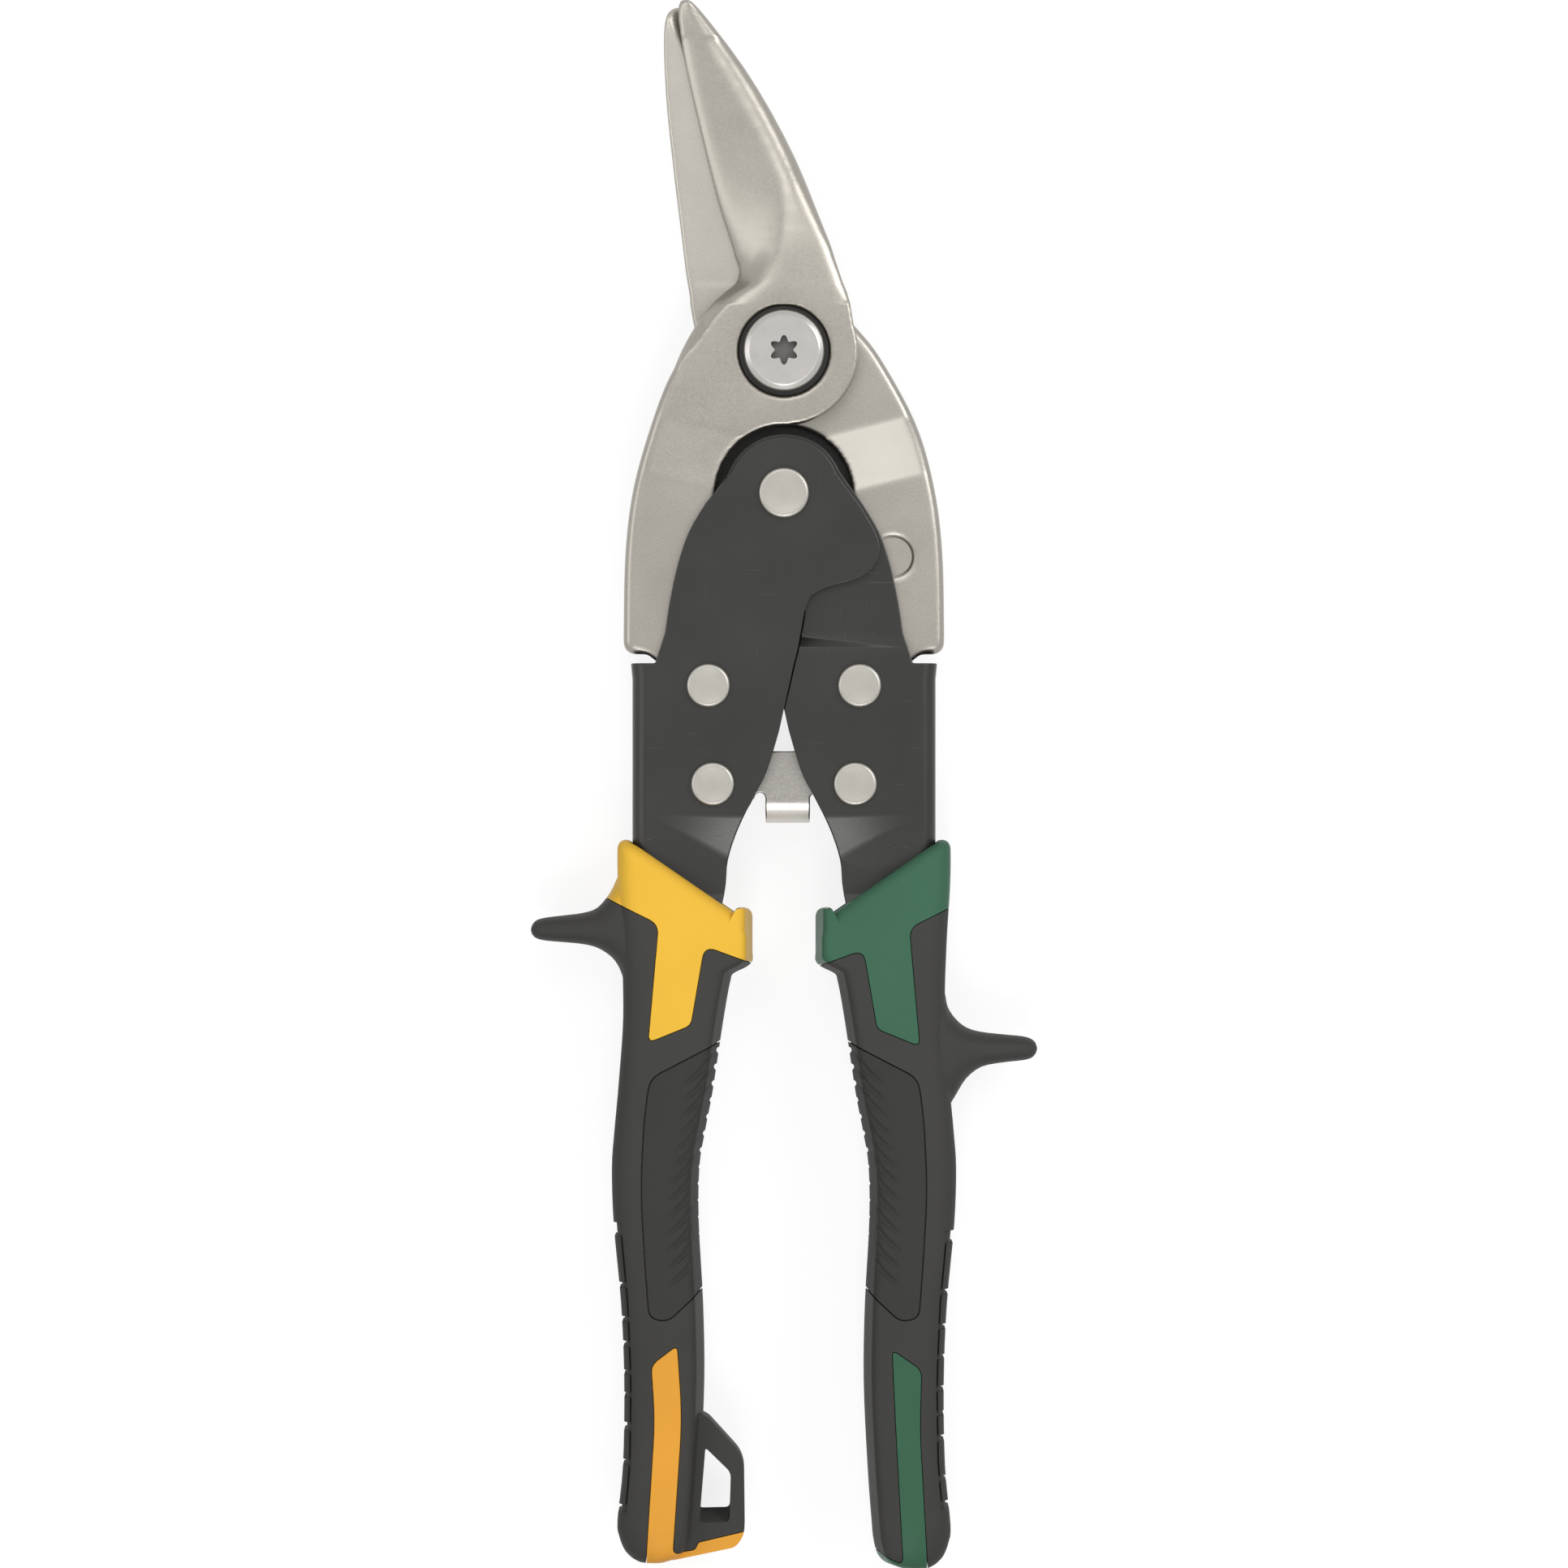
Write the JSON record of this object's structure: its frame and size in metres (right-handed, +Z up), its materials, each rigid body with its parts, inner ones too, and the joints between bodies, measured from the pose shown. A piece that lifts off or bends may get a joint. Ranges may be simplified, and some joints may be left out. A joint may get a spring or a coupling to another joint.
{
  "type": "aviation snips",
  "caption": "Compound-leverage aviation snips with forged shearing jaws, riveted sheet-steel handles, a thumb latch, a lanyard loop and two-colour cushioned grips.",
  "frame": {"origin": "middle of the bounding box, on the surface that the tool lies on", "axes": "+Y along the tool to the jaw tips, +X to the green grip, +Z up out of the front plates, the tool lying on its back"},
  "size_m": [0.082, 0.254, 0.02],
  "materials": {
    "blade_steel": "satin bead-blasted forging",
    "plated_steel": "bright satin plating",
    "black_washer": "black oxide",
    "black_oxide": "satin black oxide",
    "rivet_steel": "satin plating",
    "spring_wire": "drawn wire",
    "yellow_core": "satin moulded plastic",
    "green_core": "satin moulded plastic",
    "soft_cover": "matte soft-touch elastomer",
    "soft_pad": "matte ribbed elastomer"
  },
  "bodies": {
    "left_lever": {"left_handle": "black_oxide", "handle_rivet": "rivet_steel", "left_tang_rivet": "rivet_steel", "left_latch_rivet": "rivet_steel", "left_tang_spacer": "rivet_steel", "spring_bush": "rivet_steel", "return_spring": "spring_wire", "front_latch_spacer": "rivet_steel", "back_latch_spacer": "rivet_steel", "left_grip_core": "yellow_core", "left_grip_cover": "soft_cover", "left_palm_pad": "soft_pad"},
    "right_lever": {"right_handle": "black_oxide", "right_tang_rivet": "rivet_steel", "right_latch_rivet": "rivet_steel", "right_tang_spacer": "rivet_steel", "right_grip_core": "green_core", "right_grip_cover": "soft_cover", "right_palm_pad": "soft_pad"},
    "front_jaw": {"front_blade": "blade_steel", "pivot_bolt": "plated_steel", "pivot_washer": "black_washer", "nut_washer": "black_washer", "pivot_nut": "plated_steel"},
    "rear_jaw": {"rear_blade": "blade_steel"},
    "catch": {"latch": "rivet_steel"}
  },
  "joints": [
    {"name": "handle_spread", "type": "hinge", "parent": "left_lever", "child": "right_lever", "pos_m": [0, 0.047, 0.01], "axis": [0, 0, 1], "range_deg": [0, 30], "deforming": ["return_spring"]},
    {"name": "front_blade_swing", "type": "hinge", "parent": "left_lever", "child": "front_jaw", "pos_m": [-0.0122, 0.0159, 0.01], "axis": [0, 0, 1], "range_deg": [0, 6.73]},
    {"name": "rear_blade_swing", "type": "hinge", "parent": "front_jaw", "child": "rear_jaw", "pos_m": [0, 0.07, 0.01], "axis": [0, 0, 1], "range_deg": [0, 16.68]},
    {"name": "latch_swing", "type": "hinge", "parent": "left_lever", "child": "catch", "pos_m": [-0.0115, 0, 0.01], "axis": [0, 0, 1], "range_deg": [-11, 0]}
  ],
  "couplings": [
    {"joint": "front_blade_swing", "follows": "handle_spread", "ratio": 0.22275},
    {"joint": "rear_blade_swing", "follows": "handle_spread", "ratio": 0.5545}
  ]
}
